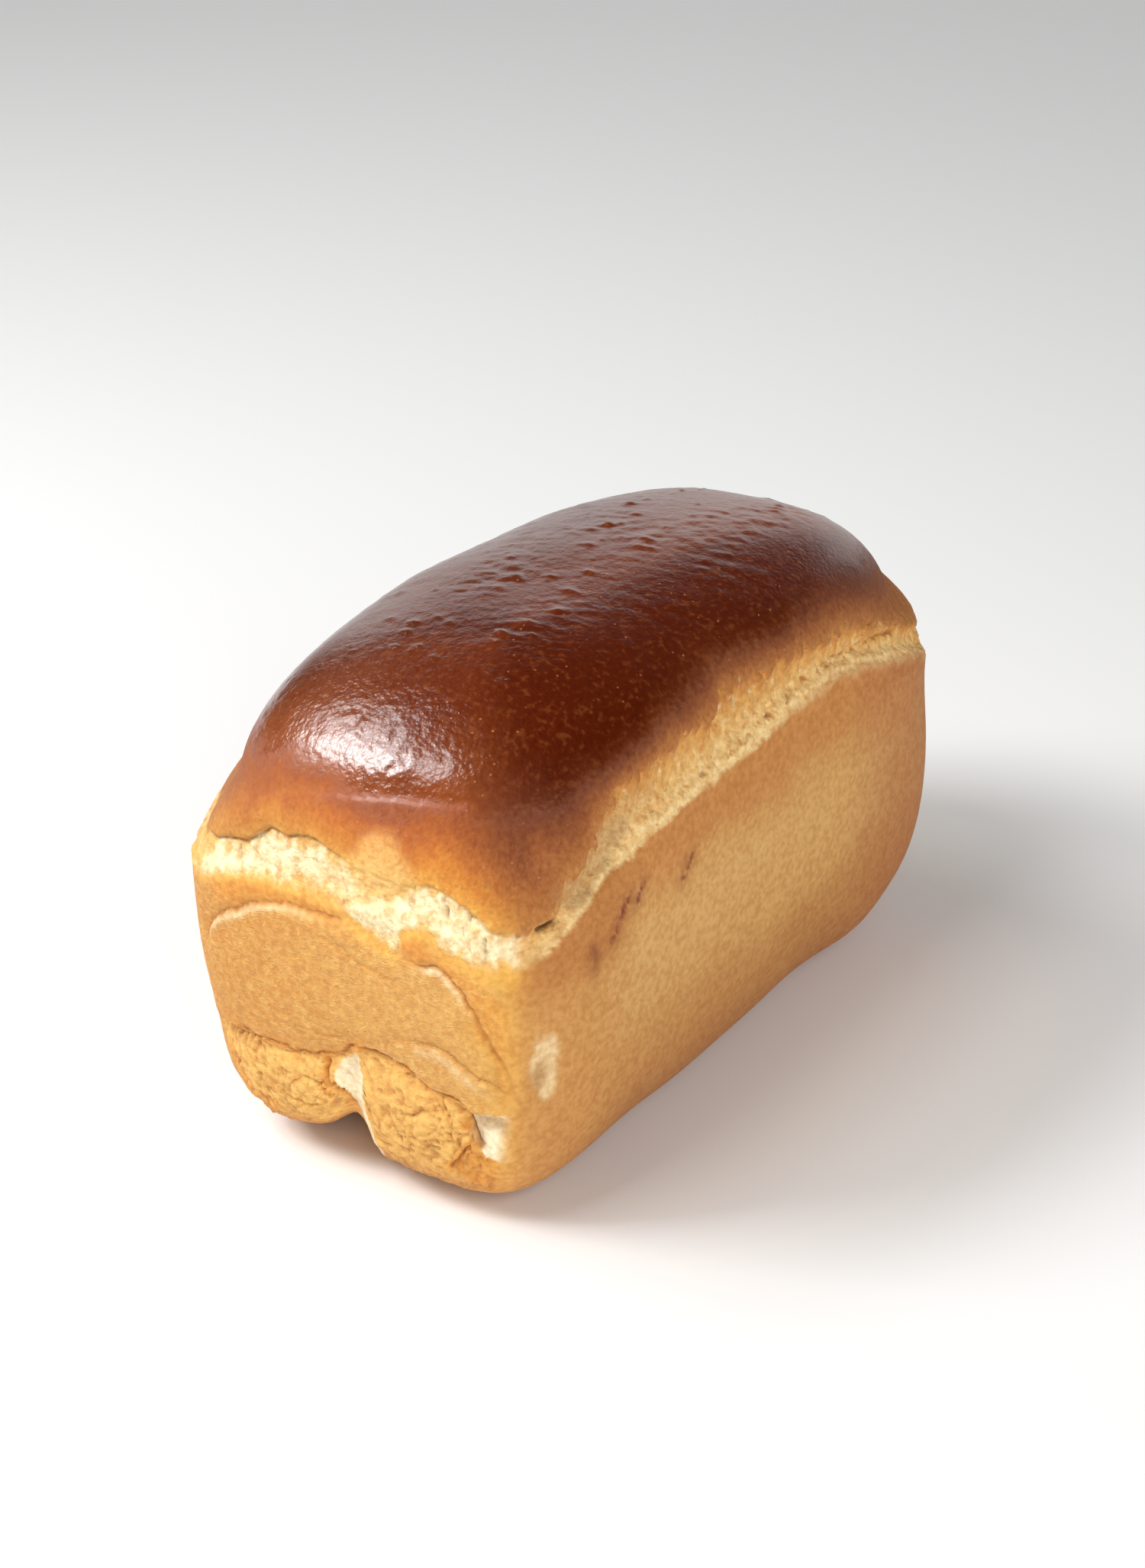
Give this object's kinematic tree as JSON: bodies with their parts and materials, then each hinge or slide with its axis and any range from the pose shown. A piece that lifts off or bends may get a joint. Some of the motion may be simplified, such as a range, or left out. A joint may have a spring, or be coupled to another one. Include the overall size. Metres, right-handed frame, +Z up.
{
  "type": "milk bread loaf",
  "caption": "Tall rectangular milk bread loaf with a glossy browned dome, a pale torn band beneath it, golden walls and folded dough showing on its end faces.",
  "frame": {"origin": "middle of the underside, on the surface that the loaf stands on", "axes": "+X along the loaf, away from the end whose folds face the camera in the picture; +Y to the hidden long side; +Z up"},
  "size_m": [0.1998, 0.1098, 0.1289],
  "materials": {
    "crust": "baked crust: golden and matt on the walls, dark and egg-washed to a gloss on the dome"
  },
  "bodies": {
    "root": {"loaf": "crust"}
  },
  "joints": []
}
